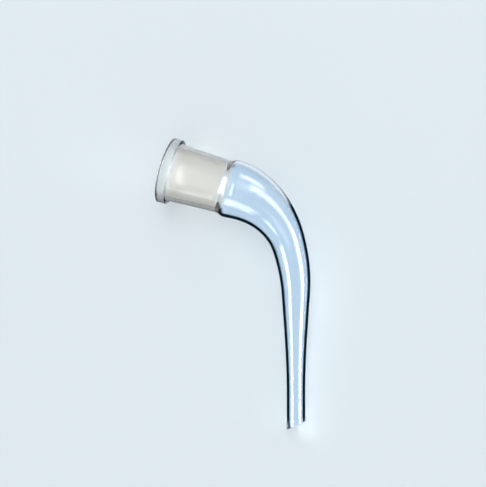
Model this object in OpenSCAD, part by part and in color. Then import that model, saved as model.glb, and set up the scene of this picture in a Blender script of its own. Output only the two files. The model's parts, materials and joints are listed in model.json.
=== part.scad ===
// Bent receiver adapter for a distillation set, blown in one piece from clear glass.
// A ground conical socket with a beaded rim opens through a waist into a body, which is bent down and
// drawn out to a slim delivery tube. The tube's end is cut at a slant, so that drops fall from its long side.
// The adapter lies on its side as it comes to rest: on the rim, on the flank of the bend and on the tip.
// Millimetres. The socket points along X, the delivery tube runs away towards -Y, and Z is up.

/* [Socket] */
// Bore of the ground socket at its mouth
socket_bore = 24; // [20:0.1:28]
// Length of the ground bore
socket_len = 29; // [24:0.5:36]
// Fall in bore diameter per millimetre of ground length
socket_taper = 0.1; // [0.06:0.01:0.14]
// Wall of the socket
socket_wall = 2.2; // [1.6:0.05:3]
// Rounding of the mouth's inner edge
mouth_round = 0.5; // [0.2:0.1:0.9]

/* [Rim] */
// How far the bead stands out from the socket's wall
rim_rise = 1.6; // [1.4:0.1:4]
// Length of the bead along the socket
rim_len = 4.5; // [3:0.1:8]
// Rounding of the bead's outer edges
rim_round = 0.8; // [0.3:0.1:1.2]
// Fillet between the bead's back and the socket's wall
rim_fillet = 0.9; // [0.3:0.1:1.2]

/* [Body] */
// Outer diameter of the body past the waist
body_d = 28.2; // [26:0.1:30]
// Wall of the body
body_wall = 1.4; // [1:0.05:2.2]
// Length of the waist, in which the body opens out from the end of the ground bore
waist_len = 4; // [3:0.5:8]
// Length of the shoulder, in which the body is drawn down to the neck
shoulder_len = 46.5; // [30:1:70]
// Outer diameter of the neck, if the tube were not drawn any further
neck_d = 16.9; // [13:0.1:22]

/* [Bend] */
// Angle between the socket and the delivery tube
bend_angle = 106; // [90:1:135]
// Straight length between the ground bore and the bend
bend_lead = 5; // [4:0.1:12]
// Radius of the tight first part of the bend
bend_r = 39; // [32:1:60]
// Radius of the gentle part of the bend, which runs out into the tube
runout_r = 81; // [50:0.5:120]
// Angle that the gentle part turns through
runout_turn = 16.3; // [6:0.1:30]

/* [Delivery tube] */
// Straight length from the bend to the middle of the slanted end
tube_len = 62.5; // [45:0.5:110]
// Distance from the end of the ground bore to the start of the tube's own draw
draw_start = 29; // [15:0.5:60]
// Outer diameter of the tip
tip_d = 8.7; // [7:0.1:12]
// Wall of the tip
tip_wall = 1.2; // [0.9:0.05:1.8]
// Length of the parallel tip, up to the middle of the slanted end
tip_len = 15; // [8:0.5:30]
// Angle of the slanted end from a square cut
tip_slant = 25; // [0:1:40]

/* [Hidden] */

// Fineness of the swept body: points round a ring, ring spacing and rings in the waist
ring_points = 48;
ring_gap = 2.5;
waist_rings = 8;
// The swept body is let into the ends of the socket and the tip by this length, this far inside their walls
seat_len = 0.2;
seat_inset = 0.03;
// Steps in which the resting plane is found
rest_steps = 10;
$fn = 96;

// Places along the centreline, as lengths from the mouth
bend_turn = 180 - bend_angle;
tight_turn = bend_turn - runout_turn;
bend_from = socket_len + bend_lead;
runout_from = bend_from + arc_len(bend_r, tight_turn);
tube_from = runout_from + arc_len(runout_r, runout_turn);
tip_to = tube_from + tube_len;
tip_from = tip_to - tip_len;
draw_from = socket_len + draw_start;

// Radii
tip_r = tip_d / 2;
neck_r = neck_d / 2;
body_r = body_d / 2;
waist_r = bore_r(socket_len) + socket_wall;
mouth_r = bore_r(0) + socket_wall;
rim_r = mouth_r + rim_rise;

// Length of an arc of radius r over an angle in degrees
function arc_len(r, angle) = r * angle * PI / 180;
// Angle in degrees of an arc of radius r and length l
function arc_angle(r, l) = l / r * 180 / PI;
// Smooth step from 0 to 1
function ease(t) = let (c = min(max(t, 0), 1)) c * c * (3 - 2 * c);
// What is left of 1 at s in a smooth fall that begins at from and ends at to
function fall(s, from, to) = 1 - ease((s - from) / (to - from));
// Unit vectors
function unit(v) = v / norm(v);
function heading(angle) = [cos(angle), sin(angle), 0];

// Radius of the ground bore at s from the mouth
function bore_r(s) = (socket_bore - socket_taper * s) / 2;
// Share of the waist and of the two draws that is still to come at s
function waist_left(s) = fall(s, socket_len, socket_len + waist_len);
function shoulder_left(s) = fall(s, socket_len, socket_len + shoulder_len);
function draw_left(s) = fall(s, draw_from, tip_from);
// Outer radius, wall and inner radius of the swept body at s
function outer_r(s) = tip_r
    + (neck_r - tip_r) * draw_left(s)
    + (body_r - neck_r) * shoulder_left(s)
    - (body_r - waist_r) * waist_left(s);
function wall(s) = tip_wall
    + (body_wall - tip_wall) * shoulder_left(s)
    + (socket_wall - body_wall) * waist_left(s);
function inner_r(s) = outer_r(s) - wall(s);

// Angle turned by the centreline at s, clockwise as seen from above
function turned(s) =
    s < bend_from ? 0 :
    s < runout_from ? arc_angle(bend_r, s - bend_from) :
    s < tube_from ? tight_turn + arc_angle(runout_r, s - runout_from) :
    bend_turn;
// Point at s on an arc of radius r that begins at start, with the centreline turned by from there
function on_arc(start, r, from, s) =
    start + r * (heading(90 - from - arc_angle(r, s)) - heading(90 - from));
// Point of the centreline at s
bend_start = [bend_from, 0, 0];
runout_start = on_arc(bend_start, bend_r, 0, runout_from - bend_from);
tube_start = on_arc(runout_start, runout_r, tight_turn, tube_from - runout_from);
function path(s) =
    s < bend_from ? [s, 0, 0] :
    s < runout_from ? on_arc(bend_start, bend_r, 0, s - bend_from) :
    s < tube_from ? on_arc(runout_start, runout_r, tight_turn, s - runout_from) :
    tube_start + (s - tube_from) * heading(-bend_turn);

// Stations of the swept rings: close together in the waist, evenly spread from there to the tip
sweep_from = socket_len + waist_len;
sweep_count = ceil((tip_from - sweep_from) / ring_gap);
stations = concat(
    [for (i = [0 : waist_rings - 1]) socket_len + waist_len * i / waist_rings],
    [for (i = [0 : sweep_count]) sweep_from + (tip_from - sweep_from) * i / sweep_count]
);

// Ring of points with radius r round the centreline at s
function ring(s, r) = [
    for (i = [0 : ring_points - 1])
        let (a = 360 * i / ring_points)
            path(s) + r * cos(a) * heading(90 - turned(s)) + [0, 0, r * sin(a)]
];
// Radius of a ring whose flats, not its corners, reach r
function round_flats(r) = r / cos(180 / ring_points);

// Circles that can touch the table, as [centre, axis, radius, rounding]
function rim_circle(s) = [[s, 0, 0], heading(0), rim_r - rim_round, rim_round];
function body_circle(s) = [path(s), heading(-turned(s)), outer_r(s), 0];
function tip_corner(side) = [
    path(tip_to) + side * tip_r * (heading(-bend_turn - 90) + tan(tip_slant) * heading(-bend_turn)),
    heading(-bend_turn), 0, 0
];
front_edge = rim_circle(rim_round);
back_edge = rim_circle(rim_len - rim_round);
tip_edge = body_circle(tip_to);
flank = [for (s = stations) body_circle(s)];
outline = concat([front_edge, back_edge, tip_corner(1), tip_corner(-1)], flank);
// Point of circle c that lies furthest against direction n
function foot(c, n) = c[0] - c[2] * unit(n - (n * c[1]) * c[1]) - c[3] * n;
// Furthest reach of the adapter along direction n
function reach(n) = max([for (c = outline) foot(c, -n) * n]);

// Normal of the plane that rests on the rim, the tip and the flank of the bend, found step by step:
// the plane through the rim's and the tip's feet turns about the line between them until the flank touches
function rest_normal(n, steps) = steps == 0 ? n :
    let (
        start = foot(back_edge, n),
        along = unit(foot(tip_edge, n) - start),
        up = unit(n - (n * along) * along),
        side = cross(along, up),
        bend_side = (path(bend_from) - start) * side > 0 ? side : -side,
        feet = [for (c = flank) foot(c, n) - start],
        slope = min([for (p = feet) if (p * bend_side > body_r / 2) (p * up) / (p * bend_side)])
    )
    rest_normal(unit(up - slope * bend_side), steps - 1);

// Axes of the resting adapter and the middle of the ground that it covers
rest_z = rest_normal([0, 0, 1], rest_steps);
rest_x = unit([1, 0, 0] - rest_z[0] * rest_z);
rest_y = cross(rest_z, rest_x);
rest_mid = [for (n = [rest_x, rest_y]) (reach(n) - reach(-n)) / 2];
rest_low = -reach(-rest_z);

// Half section of the socket, as radius and distance from the mouth
module socket_section() {
    lean = atan(socket_taper / 2);
    step = rim_r - bore_r(rim_len) - socket_wall;
    fillet = min(rim_fillet, step - rim_round);
    fillet_at = rim_len + fillet;
    fillet_r = bore_r(fillet_at) + socket_wall + fillet / cos(lean);
    touch = [fillet_r, fillet_at] - fillet * [cos(lean), sin(lean)];
    lip_r = bore_r(mouth_round) + mouth_round;
    edge_r = rim_r - rim_round;
    // Ground wall, with its inner corner at the mouth left to the rounding
    polygon([
        [bore_r(mouth_round), mouth_round],
        [bore_r(socket_len), socket_len],
        [waist_r, socket_len],
        [mouth_r, 0],
        [lip_r, 0]
    ]);
    translate([lip_r, mouth_round]) circle(mouth_round);
    // Bead with rounded edges
    translate([lip_r, 0]) square([edge_r - lip_r, rim_len]);
    translate([edge_r - rim_round, rim_round]) square([2 * rim_round, rim_len - 2 * rim_round]);
    for (s = [rim_round, rim_len - rim_round])
        translate([edge_r, s]) circle(rim_round);
    // Fillet behind the bead
    difference() {
        polygon([
            [lip_r, rim_len - rim_round],
            [fillet_r, rim_len - rim_round],
            [fillet_r, rim_len],
            touch,
            [lip_r, touch[1]]
        ]);
        translate([fillet_r, fillet_at]) circle(fillet);
    }
}

// Ground socket with its bead
module socket() {
    rotate([0, 90, 0]) rotate_extrude() socket_section();
}

// Waist, body, bend and drawn tube: one wall swept along the centreline
module swept_body() {
    rings = concat([socket_len - seat_len], stations, [tip_from + seat_len]);
    last = len(rings) - 1;
    inset = [for (j = [0 : last]) j < 2 || j > last - 2 ? seat_inset : 0];
    outer = [for (j = [0 : last]) each ring(rings[j], outer_r(rings[j]) - inset[j])];
    inner = [for (j = [0 : last]) each ring(rings[j], round_flats(inner_r(rings[j]) + inset[j]))];
    under = len(outer);
    function at(j, i) = j * ring_points + i % ring_points;
    function quad(a, b, c, d) = [[a, b, c], [a, c, d]];
    skins = [
        for (j = [0 : last - 1], i = [0 : ring_points - 1])
            let (a = at(j, i), b = at(j + 1, i), c = at(j + 1, i + 1), d = at(j, i + 1))
                each concat(quad(a, b, c, d), quad(under + a, under + d, under + c, under + b))
    ];
    caps = [
        for (i = [0 : ring_points - 1])
            let (a = at(0, i), b = at(0, i + 1), c = at(last, i), d = at(last, i + 1))
                each concat(quad(a, b, under + b, under + a), quad(c, under + c, under + d, d))
    ];
    polyhedron(concat(outer, inner), concat(skins, caps));
}

// Parallel end of the delivery tube, cut at a slant with its long side towards the socket
module tip() {
    spare = tip_d;
    difference() {
        translate(path(tip_from)) rotate([0, 90, -bend_turn]) difference() {
            cylinder(h = tip_len + spare, r = tip_r);
            translate([0, 0, -spare]) cylinder(h = tip_len + 3 * spare, r = tip_r - tip_wall);
        }
        translate(path(tip_to)) rotate([0, 0, tip_slant - bend_turn])
            translate([0, -spare, -spare]) cube(2 * spare);
    }
}

// Turns what it holds from upright in the bend's plane to lying at rest on the table
module lying() {
    multmatrix([
        [rest_x[0], rest_x[1], rest_x[2], -rest_mid[0]],
        [rest_y[0], rest_y[1], rest_y[2], -rest_mid[1]],
        [rest_z[0], rest_z[1], rest_z[2], -rest_low],
        [0, 0, 0, 1]
    ])
        children();
}

module adapter() {
    color("lightsteelblue")
        lying() {
            socket();
            swept_body();
            tip();
        }
}

adapter();
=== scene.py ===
"""Studio picture of a bent receiver adapter of clear glass, lying on a pale table.

The adapter's sizes repeat those of its solid, in millimetres, apart from finer edges at the mouth and at the
cut tip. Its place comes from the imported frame.
"""

import json
import logging
import math
from dataclasses import dataclass
from enum import Enum
from typing import Any, Callable

import bmesh
import bpy
from bmesh.types import BMEdge, BMesh, BMFace, BMVert
from mathutils import Matrix, Vector

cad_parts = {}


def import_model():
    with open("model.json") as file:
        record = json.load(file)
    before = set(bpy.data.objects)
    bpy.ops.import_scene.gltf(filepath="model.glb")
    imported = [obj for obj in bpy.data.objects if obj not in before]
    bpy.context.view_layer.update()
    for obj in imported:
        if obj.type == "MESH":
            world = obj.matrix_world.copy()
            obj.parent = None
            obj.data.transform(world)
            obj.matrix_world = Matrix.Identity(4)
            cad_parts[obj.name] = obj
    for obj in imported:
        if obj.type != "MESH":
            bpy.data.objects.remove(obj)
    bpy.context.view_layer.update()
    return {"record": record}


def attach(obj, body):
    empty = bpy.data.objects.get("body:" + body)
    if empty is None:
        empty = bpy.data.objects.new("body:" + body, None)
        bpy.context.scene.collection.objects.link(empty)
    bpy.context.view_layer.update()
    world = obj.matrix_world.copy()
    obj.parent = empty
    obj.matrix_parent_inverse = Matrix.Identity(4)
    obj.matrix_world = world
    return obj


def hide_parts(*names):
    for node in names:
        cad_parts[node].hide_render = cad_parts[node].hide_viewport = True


LOG = logging.getLogger("adapter")
MM = 0.001


def linear(hex_colour: str) -> tuple[float, float, float, float]:
    """Turn an sRGB hex colour into linear light.

    Args:
        hex_colour: Colour written as "#RRGGBB".

    Returns:
        Red, green, blue and an alpha of 1.
    """
    channels = [int(hex_colour[i : i + 2], 16) / 255 for i in (1, 3, 5)]
    red, green, blue = (c / 12.92 if c <= 0.04045 else ((c + 0.055) / 1.055) ** 2.4 for c in channels)
    return red, green, blue, 1.0


def add_node(
    tree: bpy.types.NodeTree,
    kind: str,
    fields: dict[str, Any] | None = None,
    inputs: dict[str | int, Any] | None = None,
) -> bpy.types.Node:
    """Add a node, choose its options, and set or link its inputs.

    Args:
        tree: Node tree that takes the node.
        kind: Type name of the node.
        fields: Options of the node itself, by name.
        inputs: For each input, by name or number, a value or the output that feeds it.

    Returns:
        The new node.
    """
    node = tree.nodes.new(kind)
    for name, value in (fields or {}).items():
        setattr(node, name, value)
    for key, value in (inputs or {}).items():
        if isinstance(value, bpy.types.NodeSocket):
            tree.links.new(value, node.inputs[key])
        else:
            node.inputs[key].default_value = value
    return node


def ease(t: float) -> float:
    """Smooth step from 0 to 1."""
    c = min(max(t, 0.0), 1.0)
    return c * c * (3 - 2 * c)


def fall(s: float, start: float, end: float) -> float:
    """What is left of 1 at s in a smooth fall from start to end."""
    return 1 - ease((s - start) / (end - start))


def facing(view: Matrix, heading: float, tilt: float) -> Matrix:
    """Turn from the line of sight to a direction around the adapter.

    Args:
        view: The camera's turn.
        heading: Heading in the picture in degrees, where 0 is to the right and 90 is up.
        tilt: Angle in degrees from the line that runs back to the camera.

    Returns:
        The turn whose Z axis points that way.
    """
    around = Matrix.Rotation(math.radians(heading - 90), 3, "Z")
    return view @ around @ Matrix.Rotation(math.radians(-tilt), 3, "X")


class Surface(Enum):
    """Surfaces of the glass, numbered as the material slots that they take."""

    FIRE_POLISHED = 0
    GROUND = 1


@dataclass(frozen=True)
class BorosilicateGlass:
    """Clear borosilicate glass, blown, drawn and fire-polished. Sizes are in millimetres."""

    name: str = "borosilicate_glass"
    tint: str = "#F7FBFF"
    ior: float = 1.473
    wave: float = 12.0
    wave_height: float = 0.05

    def material(self) -> bpy.types.Material:
        """Make the clear glass.

        Returns:
            The new material.
        """
        made = bpy.data.materials.new(self.name)
        made.use_nodes = True
        tree = made.node_tree
        tree.nodes.clear()
        # Drawn by hand, its skin is as smooth as a liquid's but has long, shallow waves, so the eye sees
        # clear depth with a faint blue cast, dark edges, and highlights that waver a little.
        spot = add_node(tree, "ShaderNodeTexCoord").outputs["Object"]
        waves = add_node(
            tree,
            "ShaderNodeTexNoise",
            inputs={"Vector": spot, "Scale": 1 / (self.wave * MM), "Detail": 0.0},
        )
        skin = add_node(
            tree,
            "ShaderNodeBump",
            inputs={"Strength": 1.0, "Distance": self.wave_height * MM, "Height": waves.outputs["Fac"]},
        )
        shader = add_node(
            tree,
            "ShaderNodeBsdfPrincipled",
            inputs={
                "Base Color": linear(self.tint),
                "Roughness": 0.0,
                "IOR": self.ior,
                "Transmission Weight": 1.0,
                "Normal": skin.outputs["Normal"],
            },
        )
        add_node(tree, "ShaderNodeOutputMaterial", inputs={"Surface": shader.outputs["BSDF"]})
        return made


@dataclass(frozen=True)
class GroundGlass:
    """Borosilicate glass ground with fine grit, on the bore of the socket. Sizes are in millimetres.

    Its relief runs from 0 to 1, and is roughest up to the pit level and smoothest from the ridge level on.
    """

    name: str = "ground_borosilicate_glass"
    tint: str = "#FFF5E4"
    pit_tint: str = "#FBEDDB"
    ior: float = 1.473
    transmission: float = 0.81
    smoothest: float = 0.39
    roughest: float = 0.54
    pit_level: float = 0.3
    ridge_level: float = 0.7
    pit_share: float = 0.5
    grit: float = 0.9
    groove: float = 0.8
    groove_length: float = 9.0
    depth: float = 0.05

    def material(self, lying: Matrix) -> bpy.types.Material:
        """Make the ground glass.

        Args:
            lying: Matrix that lays the flat adapter, in millimetres, on the table.

        Returns:
            The new material.
        """
        made = bpy.data.materials.new(self.name)
        made.use_nodes = True
        tree = made.node_tree
        tree.nodes.clear()
        # The pits scatter light, so the eye sees a frosted, dull, warm white that lets light but no shape
        # through, with faint rings where the grinding cone turned. Light that grazes it is lost among the
        # pits, which darkens its edges. Real grit is near 0.03 mm and its grooves are as fine, too small to
        # show, so both are drawn nearly a millimetre wide.
        spot = add_node(tree, "ShaderNodeTexCoord").outputs["Object"]
        along_socket = add_node(
            tree,
            "ShaderNodeMapping",
            {"vector_type": "TEXTURE"},
            {
                "Vector": spot,
                "Location": lying.translation,
                "Rotation": lying.to_euler(),
                "Scale": (self.groove * MM, self.groove_length * MM, self.groove_length * MM),
            },
        )
        rings = add_node(
            tree,
            "ShaderNodeTexNoise",
            inputs={"Vector": along_socket.outputs["Vector"], "Scale": 1.0, "Detail": 1.0},
        )
        pits = add_node(
            tree,
            "ShaderNodeTexNoise",
            inputs={"Vector": spot, "Scale": 1 / (self.grit * MM), "Detail": 2.0},
        )
        relief = add_node(
            tree,
            "ShaderNodeMix",
            {"data_type": "FLOAT"},
            {0: self.pit_share, 2: rings.outputs["Fac"], 3: pits.outputs["Fac"]},
        ).outputs[0]
        dullness = add_node(
            tree,
            "ShaderNodeMapRange",
            inputs={
                "Value": relief,
                "From Min": self.pit_level,
                "From Max": self.ridge_level,
                "To Min": self.roughest,
                "To Max": self.smoothest,
            },
        )
        colour = add_node(
            tree,
            "ShaderNodeMix",
            {"data_type": "RGBA"},
            {0: relief, 6: linear(self.pit_tint), 7: linear(self.tint)},
        )
        skin = add_node(
            tree,
            "ShaderNodeBump",
            inputs={"Strength": 1.0, "Distance": self.depth * MM, "Height": relief},
        )
        shader = add_node(
            tree,
            "ShaderNodeBsdfPrincipled",
            {"distribution": "GGX"},
            {
                "Base Color": colour.outputs[2],
                "Roughness": dullness.outputs["Result"],
                "IOR": self.ior,
                "Transmission Weight": self.transmission,
                "Normal": skin.outputs["Normal"],
            },
        )
        add_node(tree, "ShaderNodeOutputMaterial", inputs={"Surface": shader.outputs["BSDF"]})
        return made


@dataclass(frozen=True)
class MattLaminate:
    """Pale matt laminate of the table top. Sizes are in millimetres."""

    name: str = "matt_laminate"
    colour: str = "#DFE9EF"
    cloud_colour: str = "#DDE7ED"
    cloud: float = 180.0
    roughness: float = 0.9

    def material(self) -> bpy.types.Material:
        """Make the laminate.

        Returns:
            The new material.
        """
        made = bpy.data.materials.new(self.name)
        made.use_nodes = True
        tree = made.node_tree
        tree.nodes.clear()
        # Its dull face takes a soft shadow and no mirror image, and its print is faintly clouded, so the eye
        # sees a quiet, even ground.
        spot = add_node(tree, "ShaderNodeTexCoord").outputs["Object"]
        clouds = add_node(
            tree,
            "ShaderNodeTexNoise",
            inputs={"Vector": spot, "Scale": 1 / (self.cloud * MM), "Detail": 1.0},
        )
        colour = add_node(
            tree,
            "ShaderNodeMix",
            {"data_type": "RGBA"},
            {0: clouds.outputs["Fac"], 6: linear(self.cloud_colour), 7: linear(self.colour)},
        )
        shader = add_node(
            tree,
            "ShaderNodeBsdfPrincipled",
            inputs={
                "Base Color": colour.outputs[2],
                "Roughness": self.roughness,
                "Specular IOR Level": 0.0,
            },
        )
        add_node(tree, "ShaderNodeOutputMaterial", inputs={"Surface": shader.outputs["BSDF"]})
        return made


@dataclass(frozen=True)
class Adapter:
    """Ground socket with a beaded rim, waist, bent body and drawn delivery tube: one glass wall.

    Sizes are in millimetres and degrees. The wall is made flat in the plane of its bend, with the middle of
    the mouth at the origin and the socket along X, and is laid down at the end. A corner that is within the
    slack of a place counts as being there.
    """

    socket_bore: float = 24.0
    socket_len: float = 29.0
    socket_taper: float = 0.1
    socket_wall: float = 2.2
    mouth_round: float = 0.5
    rim_rise: float = 1.6
    rim_len: float = 4.5
    rim_round: float = 0.8
    rim_fillet: float = 0.9
    front_round: float = 0.25
    body_d: float = 28.2
    body_wall: float = 1.4
    waist_len: float = 4.0
    shoulder_len: float = 46.5
    neck_d: float = 16.9
    bend_angle: float = 106.0
    bend_lead: float = 5.0
    bend_r: float = 39.0
    runout_r: float = 81.0
    runout_turn: float = 16.3
    tube_len: float = 62.5
    draw_start: float = 29.0
    tip_d: float = 8.7
    tip_wall: float = 1.2
    tip_len: float = 15.0
    tip_slant: float = 25.0
    tip_round: float = 0.15
    sides: int = 128
    waist_rings: int = 12
    ring_gap: float = 1.25
    cone_cuts: int = 15
    round_steps: int = 6
    tip_steps: int = 3
    slack: float = 0.01

    @property
    def bend_turn(self) -> float:
        """Angle that the centreline turns through."""
        return 180 - self.bend_angle

    @property
    def tight_turn(self) -> float:
        """Angle that the tight part of the bend turns through."""
        return self.bend_turn - self.runout_turn

    @property
    def bend_from(self) -> float:
        """Length from the mouth to the bend."""
        return self.socket_len + self.bend_lead

    @property
    def runout_from(self) -> float:
        """Length from the mouth to the gentle part of the bend."""
        return self.bend_from + math.radians(self.tight_turn) * self.bend_r

    @property
    def tube_from(self) -> float:
        """Length from the mouth to the straight tube."""
        return self.runout_from + math.radians(self.runout_turn) * self.runout_r

    @property
    def tip_to(self) -> float:
        """Length from the mouth to the middle of the slanted end."""
        return self.tube_from + self.tube_len

    @property
    def tip_from(self) -> float:
        """Length from the mouth to the parallel tip."""
        return self.tip_to - self.tip_len

    @property
    def corner(self) -> float:
        """Length from the mouth to the point where the axes of socket and tube cross."""
        start = self.station(self.tube_from).translation
        return start.x + start.y / math.tan(math.radians(self.bend_turn))

    def bore_r(self, s: float) -> float:
        """Radius of the ground bore at s from the mouth."""
        return (self.socket_bore - self.socket_taper * s) / 2

    def waist_left(self, s: float) -> float:
        """Share of the waist that is still to come at s."""
        return fall(s, self.socket_len, self.socket_len + self.waist_len)

    def shoulder_left(self, s: float) -> float:
        """Share of the shoulder's draw that is still to come at s."""
        return fall(s, self.socket_len, self.socket_len + self.shoulder_len)

    def outer_r(self, s: float) -> float:
        """Outer radius of the drawn body at s.

        Args:
            s: Length along the centreline from the mouth.

        Returns:
            The radius.
        """
        waist_r = self.bore_r(self.socket_len) + self.socket_wall
        draw_left = fall(s, self.socket_len + self.draw_start, self.tip_from)
        return (
            self.tip_d / 2
            + (self.neck_d - self.tip_d) / 2 * draw_left
            + (self.body_d - self.neck_d) / 2 * self.shoulder_left(s)
            - (self.body_d / 2 - waist_r) * self.waist_left(s)
        )

    def inner_r(self, s: float) -> float:
        """Inner radius of the drawn body at s.

        Args:
            s: Length along the centreline from the mouth.

        Returns:
            The outer radius less the wall there.
        """
        wall = (
            self.tip_wall
            + (self.body_wall - self.tip_wall) * self.shoulder_left(s)
            + (self.socket_wall - self.body_wall) * self.waist_left(s)
        )
        return self.outer_r(s) - wall

    def station(self, s: float) -> Matrix:
        """Place of the centreline's cross-section at s.

        Args:
            s: Length along the centreline from the mouth.

        Returns:
            Matrix whose X axis runs along the centreline.
        """
        place = Matrix.Translation((min(s, self.bend_from), 0, 0))
        arcs = (
            (self.bend_from, self.runout_from, self.bend_r),
            (self.runout_from, self.tube_from, self.runout_r),
        )
        for start, end, radius in arcs:
            turn = (min(max(s, start), end) - start) / radius
            middle = Matrix.Translation((0, -radius, 0))
            place = place @ middle @ Matrix.Rotation(-turn, 4, "Z") @ middle.inverted()
        return place @ Matrix.Translation((max(s - self.tube_from, 0), 0, 0))

    def stations(self) -> list[float]:
        """List where the drawn wall has its rings.

        Returns:
            Lengths from the mouth, past the end of the ground bore and up to past the slanted end.
        """
        waist_end = self.socket_len + self.waist_len
        count = math.ceil((self.tip_from - waist_end) / self.ring_gap)
        waist_gap = self.waist_len / self.waist_rings
        drawn_gap = (self.tip_from - waist_end) / count
        waist = [self.socket_len + waist_gap * (i + 1) for i in range(self.waist_rings)]
        drawn = [waist_end + drawn_gap * (i + 1) for i in range(count)]
        return [*waist, *drawn, self.tip_to - self.tip_d / 2, self.tip_to + self.tip_d]

    def spin_socket(self, shell: BMesh) -> tuple[list[BMEdge], list[BMEdge]]:
        """Spin the socket's half section and round its edges.

        Args:
            shell: Mesh that takes the socket.

        Returns:
            Edges of the outer and of the inner ring at the end of the ground bore.
        """
        wall_r = self.bore_r(self.rim_len) + self.socket_wall
        rim_r = self.bore_r(0) + self.socket_wall + self.rim_rise
        section = [
            (self.socket_len, self.bore_r(self.socket_len) + self.socket_wall),
            (self.rim_len, wall_r),
            (self.rim_len, rim_r),
            (0.0, rim_r),
            (0.0, self.bore_r(0)),
            (self.socket_len, self.bore_r(self.socket_len)),
        ]
        points = [shell.verts.new((s, r, 0)) for s, r in section]
        lines = [shell.edges.new(pair) for pair in zip(points, points[1:])]
        bmesh.ops.spin(
            shell,
            geom=[*points, *lines],
            axis=(1, 0, 0),
            cent=(0, 0, 0),
            angle=math.tau,
            steps=self.sides,
            use_merge=True,
        )
        bmesh.ops.remove_doubles(shell, verts=shell.verts, dist=self.slack)
        fillet = min(self.rim_fillet, rim_r - wall_r - self.rim_round)
        roundings = (
            (section[1], fillet),
            (section[2], self.rim_round),
            (section[3], self.front_round),
            (section[4], self.mouth_round),
        )
        for (s, r), offset in roundings:
            bmesh.ops.bevel(
                shell,
                geom=self.ring(shell, s, r),
                offset=offset,
                segments=self.round_steps,
                profile=0.5,
                affect="EDGES",
                material=-1,
            )
        cone_lines = [e for e in shell.edges if e.calc_length() > self.socket_len / 2]
        bmesh.ops.subdivide_edges(shell, edges=cone_lines, cuts=self.cone_cuts, use_grid_fill=True)
        return self.ring(shell, *section[0]), self.ring(shell, *section[-1])

    def ring(self, shell: BMesh, s: float, r: float) -> list[BMEdge]:
        """Find a ring of the socket.

        Args:
            shell: Mesh that holds the socket.
            s: Length from the mouth.
            r: Radius of the ring.

        Returns:
            The edges that run round the socket there.
        """

        def on_ring(vert: BMVert) -> bool:
            """Tell whether a corner lies on the ring."""
            along, across = vert.co.x - s, math.hypot(vert.co.y, vert.co.z) - r
            return abs(along) < self.slack and abs(across) < self.slack

        return [e for e in shell.edges if all(on_ring(v) for v in e.verts)]

    def draw_wall(self, shell: BMesh, edges: list[BMEdge], radius: Callable[[float], float]) -> None:
        """Draw one skin of the wall out of a ring of the socket, along the centreline.

        Args:
            shell: Mesh that holds the ring.
            edges: Edges of the ring at the end of the ground bore.
            radius: Radius of the skin at a length from the mouth.
        """

        def disc(s: float) -> Matrix:
            """Place and size of the skin's ring at s."""
            return self.station(s) @ Matrix.Diagonal((1, radius(s), radius(s), 1))

        last = self.socket_len
        for s in self.stations():
            grown = bmesh.ops.extrude_edge_only(shell, edges=edges)["geom"]
            corners = [g for g in grown if isinstance(g, BMVert)]
            edges = [g for g in grown if isinstance(g, BMEdge)]
            bmesh.ops.transform(shell, matrix=disc(s) @ disc(last).inverted(), verts=corners)
            last = s

    def cut_tip(self, shell: BMesh) -> None:
        """Cut the tube's end at a slant, close the wall there and take the sharp edges off.

        Args:
            shell: Mesh of both skins.
        """
        slant = self.station(self.tip_to) @ Matrix.Rotation(math.radians(self.tip_slant), 4, "Z")
        bmesh.ops.bisect_plane(
            shell,
            geom=[*shell.verts, *shell.edges, *shell.faces],
            plane_co=slant.translation,
            plane_no=slant.col[0].to_3d(),
            clear_outer=True,
        )
        rims = [e for e in shell.edges if e.is_boundary]
        bmesh.ops.bridge_loops(shell, edges=rims)
        bmesh.ops.bevel(
            shell,
            geom=rims,
            offset=self.tip_round,
            segments=self.tip_steps,
            profile=0.5,
            affect="EDGES",
            material=-1,
        )

    def is_ground(self, face: BMFace) -> bool:
        """Tell whether a face lies on the ground bore.

        Args:
            face: Face of the wall, still flat in the bend's plane.

        Returns:
            True for the cone inside the socket.
        """
        middle = face.calc_center_median()
        in_socket = self.mouth_round < middle.x < self.socket_len
        return in_socket and math.hypot(middle.y, middle.z) < self.bore_r(middle.x) + self.slack

    def build(self, lying: Matrix) -> bpy.types.Object:
        """Make the adapter's glass wall.

        Args:
            lying: Matrix that lays the flat adapter, in millimetres, on the table.

        Returns:
            The new object, at the origin, with its place in its mesh.
        """
        shell = bmesh.new()
        outer, inner = self.spin_socket(shell)
        self.draw_wall(shell, outer, self.outer_r)
        self.draw_wall(shell, inner, self.inner_r)
        self.cut_tip(shell)
        bmesh.ops.recalc_face_normals(shell, faces=shell.faces)
        for face in shell.faces:
            face.smooth = True
            surface = Surface.GROUND if self.is_ground(face) else Surface.FIRE_POLISHED
            face.material_index = surface.value
        bmesh.ops.transform(shell, matrix=lying, verts=shell.verts)
        mesh = bpy.data.meshes.new("adapter_glass")
        shell.to_mesh(mesh)
        shell.free()
        made = bpy.data.objects.new("adapter_glass", mesh)
        bpy.context.scene.collection.objects.link(made)
        return made

    def dress(self, piece: bpy.types.Object, lying: Matrix) -> None:
        """Give the wall its clear and its ground surface, in the order of their slots.

        Args:
            piece: The adapter's object.
            lying: Matrix that lays the flat adapter, in millimetres, on the table.
        """
        finishes = {
            Surface.FIRE_POLISHED: BorosilicateGlass().material(),
            Surface.GROUND: GroundGlass().material(lying),
        }
        for surface in Surface:
            piece.data.materials.append(finishes[surface])


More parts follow.
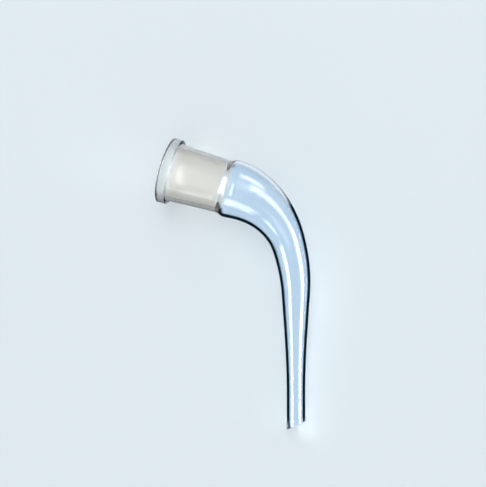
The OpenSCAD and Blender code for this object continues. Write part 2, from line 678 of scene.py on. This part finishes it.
@dataclass(frozen=True)
class PhotoCamera:
    """Camera that looks down on the lying adapter as the photograph looks at it.

    It faces the plane of the bend with the tube hanging down the picture, and is then turned and set off by
    the angles and pixels found from the outline. Angles are in degrees, lengths in millimetres.
    """

    frame_px: tuple[float, float] = (486.0, 487.0)
    corner_px: tuple[float, float] = (295.7, 207.2)
    focal_px: float = 1906.6
    distance: float = 900.0
    yaw: float = -10.78
    pitch: float = 1.31
    roll: float = 0.125
    sensor: float = 36.0

    def place(self, adapter: Adapter) -> Matrix:
        """Work out where the camera is.

        Args:
            adapter: The adapter that it looks at.

        Returns:
            The camera's matrix in the flat adapter's frame, in millimetres.
        """
        turns = (
            (self.roll, "Z"),
            (self.pitch, "X"),
            (self.yaw, "Y"),
            (adapter.bend_turn - 90, "Z"),
        )
        view = Matrix.Identity(4)
        for angle, axis in turns:
            view = view @ Matrix.Rotation(math.radians(angle), 4, axis)
        middle = [size / 2 for size in self.frame_px]
        scale = self.distance / self.focal_px
        right = (self.corner_px[0] - middle[0]) * scale
        up = (middle[1] - self.corner_px[1]) * scale
        offset = Matrix.Translation((-right, -up, self.distance))
        return Matrix.Translation((adapter.corner, 0, 0)) @ view.inverted() @ offset

    def build(self, adapter: Adapter, lying: Matrix) -> bpy.types.Object:
        """Make the camera and give it to the scene.

        Args:
            adapter: The adapter that it looks at.
            lying: Matrix that lays the flat adapter, in millimetres, on the table.

        Returns:
            The camera.
        """
        data = bpy.data.cameras.new("photo_camera")
        data.sensor_fit = "VERTICAL"
        data.sensor_height = self.sensor
        data.lens = self.focal_px * self.sensor / self.frame_px[1]
        camera = bpy.data.objects.new("photo_camera", data)
        placed = lying @ self.place(adapter)
        camera.matrix_world = Matrix.LocRotScale(placed.translation, placed.to_quaternion(), None)
        bpy.context.scene.collection.objects.link(camera)
        bpy.context.scene.camera = camera
        return camera


@dataclass(frozen=True)
class Softbox:
    """Rectangular lamp that faces the adapter and is brightest in its middle.

    Its place is given as the camera sees the adapter: the angle from the line of sight, and the heading in
    the picture, where 0 is to the right and 90 is up. Sizes are in metres, with the width along the heading,
    and core is the evenly lit share of them. The glass mirrors only the softboxes that don't light the table.
    """

    name: str
    heading: float
    tilt: float
    width: float
    length: float
    radiance: float
    distance: float = 0.8
    lights_table: bool = False
    core: float = 0.45

    def shade(self, data: bpy.types.AreaLight) -> None:
        """Let the light fade towards the lamp's edges.

        Args:
            data: The lamp's data.
        """
        data.use_nodes = True
        tree = data.node_tree
        tree.nodes.clear()
        spot = add_node(tree, "ShaderNodeNewGeometry").outputs["Parametric"]
        centred = add_node(
            tree,
            "ShaderNodeVectorMath",
            {"operation": "MULTIPLY_ADD"},
            {0: spot, 1: (2.0, 2.0, 0.0), 2: (-1.0, -1.0, 0.0)},
        )
        reach = add_node(
            tree,
            "ShaderNodeVectorMath",
            {"operation": "ABSOLUTE"},
            {0: centred.outputs["Vector"]},
        )
        sides = add_node(tree, "ShaderNodeSeparateXYZ", inputs={"Vector": reach.outputs["Vector"]})
        farthest = add_node(
            tree,
            "ShaderNodeMath",
            {"operation": "MAXIMUM"},
            {0: sides.outputs["X"], 1: sides.outputs["Y"]},
        )
        glow = add_node(
            tree,
            "ShaderNodeMapRange",
            {"interpolation_type": "SMOOTHSTEP"},
            {"Value": farthest.outputs["Value"], "From Min": 1.0, "From Max": self.core},
        )
        cloth = add_node(tree, "ShaderNodeEmission", inputs={"Strength": glow.outputs["Result"]})
        add_node(tree, "ShaderNodeOutputLight", inputs={"Surface": cloth.outputs["Emission"]})

    def build(self, view: Matrix) -> bpy.types.Object:
        """Make the lamp.

        Args:
            view: The camera's turn.

        Returns:
            The lamp.
        """
        data = bpy.data.lights.new(self.name, "AREA")
        data.shape = "RECTANGLE"
        data.size = self.length
        data.size_y = self.width
        data.energy = self.radiance * math.pi * self.width * self.length
        self.shade(data)
        lamp = bpy.data.objects.new(self.name, data)
        turn = facing(view, self.heading, self.tilt).to_4x4()
        lamp.matrix_world = turn @ Matrix.Translation((0, 0, self.distance))
        lamp.visible_camera = False
        lamp.visible_diffuse = self.lights_table
        lamp.visible_glossy = not self.lights_table
        bpy.context.scene.collection.objects.link(lamp)
        return lamp


@dataclass(frozen=True)
class Shade:
    """Colour laid over the surroundings.

    Heading and tilt give a direction as they do for a softbox. The colour is absent where the cosine of the
    angle from that direction is at low, and full where it is at high.
    """

    colour: str
    heading: float
    tilt: float
    low: float
    high: float

    def lay(self, tree: bpy.types.NodeTree, view: Matrix, under: Any) -> bpy.types.NodeSocket:
        """Lay the shade over what the surroundings show so far.

        Args:
            tree: The world's node tree.
            view: The camera's turn.
            under: Colour under the shade, or the output that gives it.

        Returns:
            The output that gives the colour in each direction.
        """
        gaze = add_node(tree, "ShaderNodeTexCoord").outputs["Generated"]
        rise = add_node(
            tree,
            "ShaderNodeVectorMath",
            {"operation": "DOT_PRODUCT"},
            {0: gaze, 1: facing(view, self.heading, self.tilt).col[2]},
        )
        share = add_node(
            tree,
            "ShaderNodeMapRange",
            {"interpolation_type": "SMOOTHSTEP"},
            {"Value": rise.outputs["Value"], "From Min": self.low, "From Max": self.high},
        )
        laid = add_node(
            tree,
            "ShaderNodeMix",
            {"data_type": "RGBA"},
            {0: share.outputs["Result"], 6: under, 7: linear(self.colour)},
        )
        return laid.outputs[2]


@dataclass(frozen=True)
class Studio:
    """Pale table, softboxes and the surroundings that the glass shows.

    Straight through its walls the glass shows a bright blue-white panel, and a light ceiling above. What its
    walls mirror is dark, as with black flags beside the panel, so the glass is drawn with dark edges, apart
    from the edges that face up the picture, which mirror a pale wall.
    """

    backdrop: str = "#D3DDE3"
    panel: str = "#D4EAFB"
    ceiling: str = "#FFFCF6"
    flag: str = "#0A1E2C"
    pale_wall: str = "#E6F0F8"
    ambient: float = 0.9
    span: float = 12.0
    through: tuple[Shade, ...] = (Shade(ceiling, heading=167, tilt=13.6, low=0.20, high=0.60),)
    mirrored: tuple[Shade, ...] = (
        Shade(pale_wall, heading=118, tilt=90, low=0.03, high=0.12),
        Shade(flag, heading=215, tilt=90, low=0.02, high=0.12),
        Shade(flag, heading=0, tilt=180, low=0.50, high=0.35),
    )
    softboxes: tuple[Softbox, ...] = (
        Softbox(
            "overhead_softbox",
            heading=100,
            tilt=25,
            width=0.9,
            length=0.9,
            radiance=1.8,
            distance=1.3,
            lights_table=True,
        ),
        Softbox("left_softbox", heading=191, tilt=56, width=0.45, length=0.40, radiance=8.0),
        Softbox("right_softbox", heading=352, tilt=56, width=0.23, length=0.80, radiance=24.0),
        Softbox("upper_softbox", heading=65, tilt=64, width=0.30, length=0.40, radiance=6.0),
        Softbox("lower_softbox", heading=247, tilt=60, width=0.60, length=0.30, radiance=5.0),
        Softbox("mouth_softbox", heading=159, tilt=74, width=0.50, length=0.90, radiance=20.0),
    )

    def build_table(self) -> bpy.types.Object:
        """Make the table.

        Returns:
            The table, which the glass neither shows through its walls nor mirrors.
        """
        flat = bmesh.new()
        bmesh.ops.create_grid(flat, x_segments=1, y_segments=1, size=self.span / 2)
        mesh = bpy.data.meshes.new("table")
        flat.to_mesh(mesh)
        flat.free()
        table = bpy.data.objects.new("table", mesh)
        bpy.context.scene.collection.objects.link(table)
        mesh.materials.append(MattLaminate().material())
        table.visible_transmission = False
        table.visible_glossy = False
        return table

    def build_world(self, view: Matrix) -> bpy.types.World:
        """Make the surroundings.

        Args:
            view: The camera's turn.

        Returns:
            The world, given to the scene.
        """
        world = bpy.data.worlds.new("studio")
        world.use_nodes = True
        tree = world.node_tree
        tree.nodes.clear()
        shown: Any = linear(self.panel)
        for shade in self.through:
            shown = shade.lay(tree, view, shown)
        reflected: Any = linear(self.flag)
        for shade in self.mirrored:
            reflected = shade.lay(tree, view, reflected)
        rays = (
            ("Glossy Depth", reflected),
            ("Is Diffuse Ray", (self.ambient, self.ambient, self.ambient, 1.0)),
            ("Is Camera Ray", linear(self.backdrop)),
        )
        path = add_node(tree, "ShaderNodeLightPath")
        for ray, colour in rays:
            shown = add_node(
                tree,
                "ShaderNodeMix",
                {"data_type": "RGBA"},
                {0: path.outputs[ray], 6: shown, 7: colour},
            ).outputs[2]
        sky = add_node(tree, "ShaderNodeBackground", inputs={"Color": shown, "Strength": 1.0})
        add_node(tree, "ShaderNodeOutputWorld", inputs={"Surface": sky.outputs["Background"]})
        bpy.context.scene.world = world
        return world


def lying_place(record: dict[str, Any]) -> Matrix:
    """Work out how the flat adapter lies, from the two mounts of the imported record.

    Args:
        record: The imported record.

    Returns:
        Matrix from the flat adapter, in millimetres, to the row's frame, in metres.
    """
    mounts = {mount["name"]: mount for mount in record["mounts"]}
    inward = -Vector(mounts["socket"]["axis"]).normalized()
    tube = Vector(mounts["delivery_tube"]["axis"])
    upright = tube.cross(inward).normalized()
    turn = Matrix((inward, upright.cross(inward), upright)).transposed().to_4x4()
    return Matrix.Translation(mounts["socket"]["pos_m"]) @ turn @ Matrix.Scale(MM, 4)


def main() -> None:
    """Build the adapter, the camera and the studio, and report each."""
    logging.basicConfig(level=logging.INFO, format="%(name)s: %(message)s")
    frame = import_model()
    bpy.context.scene.view_settings.view_transform = "Standard"
    lying = lying_place(frame["record"])
    adapter = Adapter()
    piece = adapter.build(lying)
    adapter.dress(piece, lying)
    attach(piece, "root")
    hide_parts("adapter")
    LOG.info("%s has %d faces", piece.name, len(piece.data.polygons))
    camera = PhotoCamera().build(adapter, lying)
    LOG.info("%s is %.2f m up", camera.name, camera.location.z)
    view = camera.matrix_world.to_3x3()
    studio = Studio()
    LOG.info("%s is %.0f m wide", studio.build_table().name, studio.span)
    LOG.info("%s surrounds it", studio.build_world(view).name)
    for softbox in studio.softboxes:
        LOG.info("%s gives %.1f W", softbox.name, softbox.build(view).data.energy)


if __name__ == "__main__":
    main()
